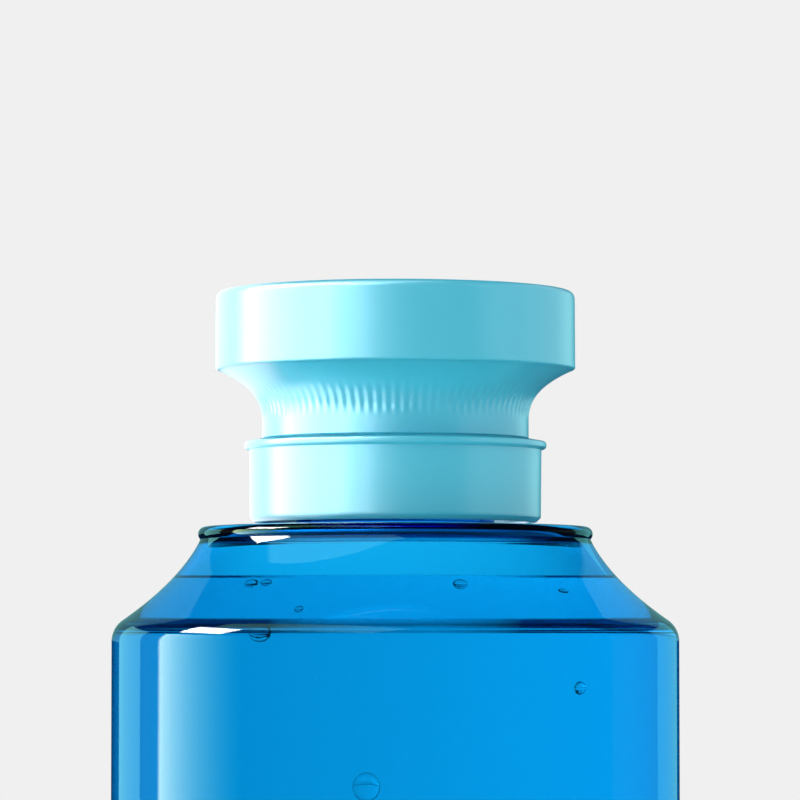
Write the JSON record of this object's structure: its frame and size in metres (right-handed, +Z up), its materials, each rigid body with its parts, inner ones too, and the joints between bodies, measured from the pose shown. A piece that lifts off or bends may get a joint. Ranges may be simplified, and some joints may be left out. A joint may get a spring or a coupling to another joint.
{
  "type": "mouthwash bottle",
  "caption": "Round clear-blue bottle with a flared shoulder and lip ring, filled with blue liquid and closed by a waisted two-part screw cap that holds a dosing cup.",
  "frame": {"origin": "centre of the base, on the surface the bottle stands on", "axes": "+Z up along the bottle's axis, -Y towards the viewer"},
  "size_m": [0.062, 0.062, 0.1238],
  "materials": {
    "clear_bottle": "clear, glossy",
    "blue_liquid": "clear liquid",
    "soft_seal": "matte",
    "natural_plastic": "semi-gloss, translucent",
    "cap_plastic": "satin"
  },
  "bodies": {
    "bottle": {"bottle": "clear_bottle", "mouthwash": "blue_liquid"},
    "seal": {"seal_ring": "soft_seal"},
    "cap": {"dosing_cup": "natural_plastic", "cap_shell": "cap_plastic", "top_cover": "cap_plastic", "collar": "cap_plastic"}
  },
  "joints": [
    {"name": "cap_lift", "type": "slide", "parent": "bottle", "child": "seal", "axis": [0, 0, 1], "range_m": [0, 0.016]},
    {"name": "cap_turn", "type": "hinge", "parent": "seal", "child": "cap", "pos_m": [0, 0, 0.111], "axis": [0, 0, 1], "range_deg": [0, 1800]}
  ],
  "couplings": [
    {"joint": "cap_lift", "follows": "cap_turn", "m_per_rad": 0.0005093}
  ]
}
